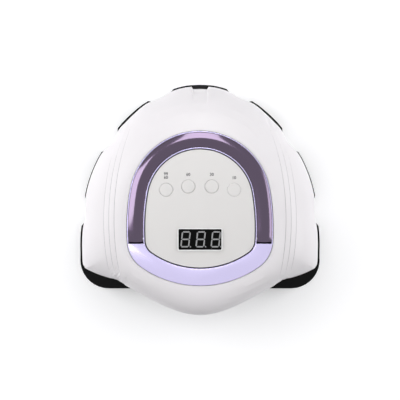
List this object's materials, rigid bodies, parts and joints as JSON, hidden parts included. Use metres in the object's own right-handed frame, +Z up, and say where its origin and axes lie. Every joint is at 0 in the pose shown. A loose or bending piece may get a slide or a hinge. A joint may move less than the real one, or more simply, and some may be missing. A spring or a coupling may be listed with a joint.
{
  "type": "led nail lamp",
  "caption": "Tabletop nail curing lamp with a domed white shell on a lobed black base, a folding carry handle round its control panel, timer buttons and a removable tray.",
  "frame": {"origin": "on the table, under the middle of the lamp's box", "axes": "+X across the lamp, to the right of the user; +Y towards the back and the power inlet; the hand goes in from -Y; +Z up"},
  "size_m": [0.234, 0.22, 0.101],
  "materials": {
    "shell_white": "smooth gloss white moulding",
    "base_black": "black moulding with a soft gloss",
    "lilac_plating": "lilac metallized plastic",
    "mauve_plating": "dark mauve mirror plating",
    "panel_white": "off-white satin moulding",
    "display_black": "dark display face",
    "segment_grey": "unlit display segments",
    "board_green": "circuit board",
    "board_white": "white light board",
    "reflector_silver": "metallized reflector",
    "led_lens": "clear domed lens",
    "steel": "zinc-plated steel",
    "tray_silver": "silver coated sheet",
    "foot_rubber": "matt black rubber"
  },
  "bodies": {
    "housing": {"top_shell": "shell_white", "base_frame": "base_black", "opening_frame": "base_black", "trim_ring": "lilac_plating", "hinge_pins": "steel", "control_panel": "panel_white", "display_module": "display_black", "display_segments": "segment_grey", "control_board": "board_green", "tact_switches": "base_black", "board_screws": "steel", "reflector": "reflector_silver", "top_led_board": "board_white", "side_led_boards": "board_white", "back_led_boards": "board_white", "top_leds": "led_lens", "side_leds": "led_lens", "back_leds": "led_lens", "motion_sensor": "display_black", "power_board": "board_green", "power_parts": "base_black", "dc_jack": "base_black", "shell_screws": "steel", "rubber_feet": "foot_rubber", "magnets": "steel"},
    "handle": {"carry_handle": "mauve_plating"},
    "button_1": {"button_1": "panel_white"},
    "button_2": {"button_2": "panel_white"},
    "button_3": {"button_3": "panel_white"},
    "button_4": {"button_4": "panel_white"},
    "tray": {"bottom_tray": "tray_silver", "tray_discs": "steel"}
  },
  "joints": [
    {"name": "handle_fold", "type": "hinge", "parent": "housing", "child": "handle", "pos_m": [0, -0.03783, 0.08751], "axis": [1, 0, 0], "range_deg": [0, 90]},
    {"name": "button_1_press", "type": "slide", "parent": "housing", "child": "button_1", "axis": [0, 0.1045, -0.9945], "range_m": [0, 0.0007], "stiffness_N_per_m": 400},
    {"name": "button_2_press", "type": "slide", "parent": "housing", "child": "button_2", "axis": [0, 0.1045, -0.9945], "range_m": [0, 0.0007], "stiffness_N_per_m": 400},
    {"name": "button_3_press", "type": "slide", "parent": "housing", "child": "button_3", "axis": [0, 0.1045, -0.9945], "range_m": [0, 0.0007], "stiffness_N_per_m": 400},
    {"name": "button_4_press", "type": "slide", "parent": "housing", "child": "button_4", "axis": [0, 0.1045, -0.9945], "range_m": [0, 0.0007], "stiffness_N_per_m": 400},
    {"name": "tray_slide", "type": "slide", "parent": "housing", "child": "tray", "axis": [0, -1, 0], "range_m": [0, 0.18]}
  ]
}
